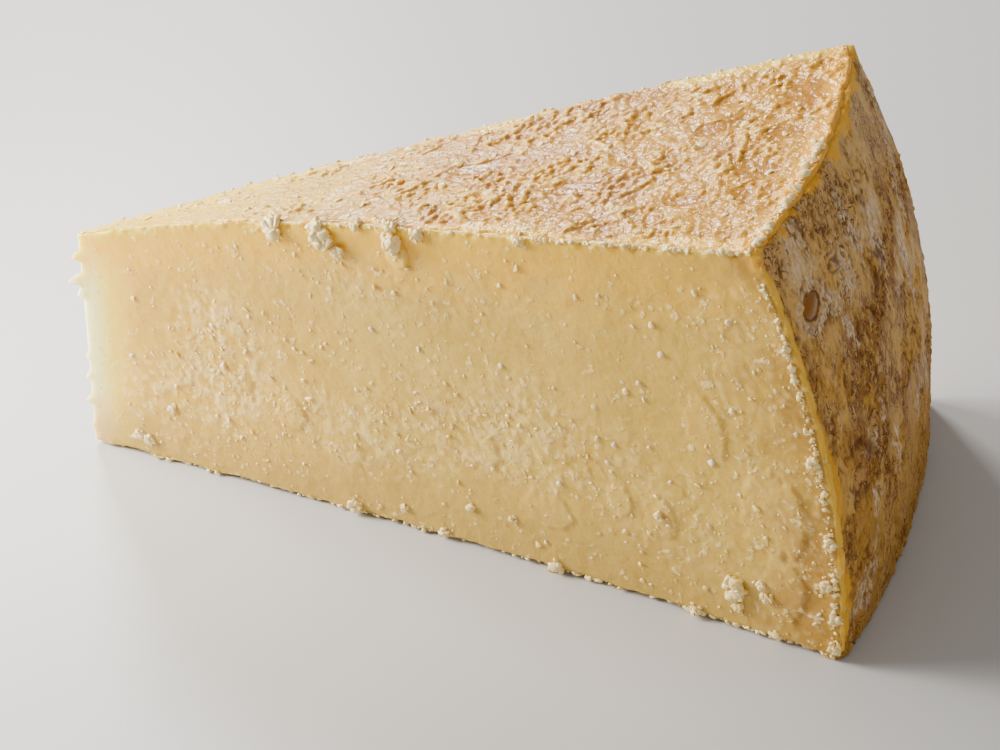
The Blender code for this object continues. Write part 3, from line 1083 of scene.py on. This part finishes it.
# %% Crystals
# Each of the larger crystals on the front cut: share along, share up, size in mm.
FRONT_CRYSTALS = ((0.74, 0.86, 1), (0.83, 0.81, 1.3), (0.83, 0.74, 1.2), (0.93, 0.84, 1.1),
                  (0.79, 0.65, 1), (0.77, 0.62, 1.2), (0.44, 0.68, 1.1), (0.50, 0.64, 0.9),
                  (0.61, 0.63, 1), (0.90, 0.90, 1), (0.72, 0.47, 0.9), (0.74, 0.46, 1),
                  (0.26, 0.67, 1), (0.20, 0.62, 1.2), (0.07, 0.46, 1.1), (0.21, 0.47, 1.3),
                  (0.12, 0.25, 1.4), (0.66, 0.30, 1), (0.86, 0.47, 1.1), (0.90, 0.62, 1.2))
crystals = []
for along, up, size in FRONT_CRYSTALS:
    crystals.append(seat(crystal_shapes, (along, 0.0, up), FRONT_OUT, size * MM, 0.7, 0.5))
for side, outward, count, least, most in ((0, FRONT_OUT, 60, 0.4, 0.8), (1, BACK_OUT, 80, 0.5, 1.3)):
    for _ in range(count):
        shares = (draw.uniform(0.05, 0.98), side, draw.uniform(0.05, 0.95))
        size = draw.uniform(least, most) * MM
        crystals.append(seat(crystal_shapes, shares, outward, size, 0.8, 0.45))
join("crystals", crystals, crystal_look)

# %% Large crumbs
# Each crumb: share along, share across, share up, size in mm, how much longer than wide.
CRUMBS = ((0.329, 0, 0.984, 3, 1.2), (0.400, 0, 0.965, 3.6, 1.3), (0.396, 0, 0.99, 2.6, 1),
          (0.418, 0, 0.92, 2.4, 1), (0.454, 0.02, 1, 1.8, 1.2), (0.504, 0.02, 1, 2.2, 1.3),
          (0.505, 0, 0.955, 3, 1.4), (0.547, 0, 0.985, 2, 1), (0.689, 0, 0.99, 1.6, 1),
          (0.872, 0, 0.123, 3.4, 1.5), (0.877, 0, 0.07, 1.5, 1), (0.911, 0, 0.126, 1.7, 1),
          (0.905, 0, 0.155, 1.4, 1), (0.070, 0, 0.10, 1.9, 1), (0.084, 0, 0.085, 2, 1.1),
          (0.124, 0, 0.245, 1.2, 1), (0.538, 0, 0.139, 1.3, 1), (0.594, 0, 0.141, 1.2, 1),
          (0.447, 0, 0.076, 1.2, 1), (0.785, 0, 0.280, 1.3, 1.6), (0.381, 0, 0.031, 2.6, 1),
          (0.501, 0, 0.019, 1.8, 1.4), (0.648, 0, 0.016, 2.4, 1.6), (0.827, 0, 0.011, 2.2, 1.5),
          (0.922, 0, 0.01, 1.8, 1.2), (0.985, 0, 0.528, 1.8, 1.2), (0.990, 0, 0.325, 1.5, 1.3),
          (0.982, 0, 0.21, 1.6, 1), (0.992, 0, 0.12, 1.5, 1.3), (0.992, 0, 0.04, 1.6, 1.4),
          (0.35, 1, 0.97, 2, 1.2), (0.62, 1, 0.10, 2.6, 1.3), (0.81, 1, 0.30, 2.2, 1.2),
          (0.22, 1, 0.15, 1.8, 1), (0.90, 1, 0.62, 1.6, 1), (0.48, 1, 0.02, 2, 1.3))


def cluster(shares, outward, size, long):
    """Yield a heap of broken bits that clings to the surface, highest in its middle."""
    for _ in range(int(8 + 8 * size)):
        far, way = draw.random() ** 0.6, draw.uniform(0.0, 2.0 * math.pi)
        step_along = far * math.cos(way) * 0.5 * size * MM / FRONT_LENGTH
        step_up = far * math.sin(way) * 0.5 * size * long * MM / RIM_HEIGHT
        spot = (shares[0] + step_along, shares[1], shares[2] + step_up)
        height = draw.random() * math.sqrt(1.0 - far * far) * 0.25 * size * MM
        bit = draw.uniform(0.25, 0.62) * size ** 0.7 * MM
        yield seat(bit_shapes, spot, outward, bit * 1.6, 0.8, 0.45, 1.0, height)
    for _ in range(int(size * 3)):
        spot = (shares[0] + draw.gauss(0.0, 0.7) * size * MM / FRONT_LENGTH, shares[1],
                shares[2] + draw.gauss(0.0, 0.9) * size * MM / RIM_HEIGHT)
        yield seat(bit_shapes, spot, outward, draw.uniform(0.3, 0.6) * MM, 0.8, 0.3)


crumbs = []
for along, across, up, size, long in CRUMBS:
    outward = FRONT_OUT if across < 0.5 else BACK_OUT
    if up > 0.99:
        outward = (outward + TOP_OUT).normalized()
    crumbs += cluster((along, across, up), outward, size, long)
join("large_crumbs", crumbs, crumb_look)

# %% [markdown]
# ## Crumbs along the edges
# A knife drags crumbs to every edge, most of all to the foot and the two edges of the rim. A slow
# noise along each edge decides where they crowd, since even spacing would look sewn on.

# %% Crumbs along the edges
# Each edge: start and end in shares, the way out, crumbs, smallest and largest size in mm.
EDGES = (((0.72, 0, 1), (0.99, 0, 1), FRONT_OUT + TOP_OUT, 190, 0.3, 1.3),
         ((0.25, 0, 1), (0.72, 0, 1), FRONT_OUT + TOP_OUT, 80, 0.3, 0.9),
         ((0.02, 1, 1), (0.99, 1, 1), BACK_OUT + TOP_OUT, 190, 0.3, 1.1),
         ((0.992, 0.01, 1), (0.992, 0.50, 1), TOP_OUT, 190, 0.4, 1.9),
         ((0.992, 0.50, 1), (0.992, 0.99, 1), TOP_OUT, 50, 0.3, 0.6),
         ((0.993, 0, 0.02), (0.993, 0, 0.95), FRONT_OUT, 330, 0.3, 1.1),
         ((0.993, 1, 0.02), (0.993, 1, 0.95), BACK_OUT, 260, 0.3, 1.1),
         ((0.03, 0, 0.012), (0.99, 0, 0.012), FRONT_OUT, 620, 0.3, 1.2),
         ((0.03, 1, 0.012), (0.99, 1, 0.012), BACK_OUT, 560, 0.3, 1.2),
         ((0, 0.5, 0.02), (0, 0.5, 0.98), TIP_OUT, 50, 0.3, 0.7))


def edge_crumbs():
    """Yield crumbs that crowd in clusters along every edge."""
    for start, end, outward, count, smallest, largest in EDGES:
        out = outward.normalized()
        for _ in range(count):
            share = draw.random()
            crowd = noise.noise(Vector((share * 14, count * 0.37, 0)))
            if crowd < draw.uniform(-0.6, 0.45):
                continue
            shares = Vector(start).lerp(Vector(end), share)
            shares.x -= abs(draw.gauss(0.0, 0.003)) if start[0] > 0.9 else 0.0
            size = (smallest + (largest - smallest) * draw.random() ** 2.8) * MM
            yield seat(bit_shapes, tuple(shares), out, size, 0.8, 0.4, draw.choice((1, 1.4)))


join("edge_crumbs", edge_crumbs(), crumb_look)

# %% Flakes on the top
def top_flakes(tries):
    """Yield thin pale flakes that lie on the top rind."""
    for _ in range(tries):
        shares = (draw.random() ** 0.5 * 0.985, draw.uniform(0.02, 0.98), 1.0)
        crowd = noise.noise(Vector((shares[0] * 8, shares[1] * 5, 3.0)))
        if crowd < draw.uniform(-0.5, 0.5):
            continue
        size = (0.5 + 1.3 * draw.random() ** 3) * MM
        yield seat(bit_shapes, shares, TOP_OUT, size, 0.35, 0.5, draw.choice((1.0, 1.2)))


flake_look = crumb_material("flakes", TOP_CREAM, CRUMB_PALE)
join("top_flakes", top_flakes(500), flake_look)
